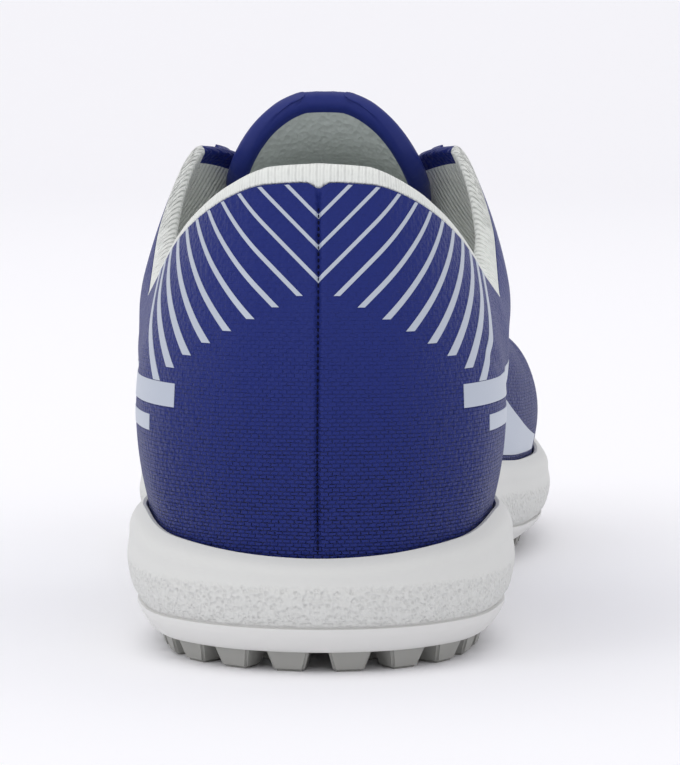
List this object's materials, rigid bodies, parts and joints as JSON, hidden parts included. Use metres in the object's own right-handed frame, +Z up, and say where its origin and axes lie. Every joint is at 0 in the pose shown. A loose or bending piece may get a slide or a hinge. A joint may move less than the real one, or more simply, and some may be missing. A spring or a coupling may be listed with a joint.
{
  "type": "turf shoe",
  "caption": "Low-cut lace-up turf shoe for the left foot, with a hollow padded upper, foam midsole and a rubber outsole with low studs.",
  "frame": {"origin": "middle of the bottom of the box around the shoe, on the plane that the studs stand on", "axes": "+Y from heel to toe, +X towards the inner side of the foot, +Z up"},
  "size_m": [0.096, 0.282, 0.1079],
  "materials": {
    "outsole_rubber": "satin",
    "midsole_foam": "matte",
    "upper_synthetic": "satin",
    "lining_mesh": "matte",
    "lace_cord": "matte"
  },
  "bodies": {
    "root": {"outsole": "outsole_rubber", "midsole": "midsole_foam", "upper": "upper_synthetic", "tongue": "upper_synthetic", "insole": "lining_mesh", "eyestay": "upper_synthetic", "laces": "lace_cord"}
  },
  "joints": []
}
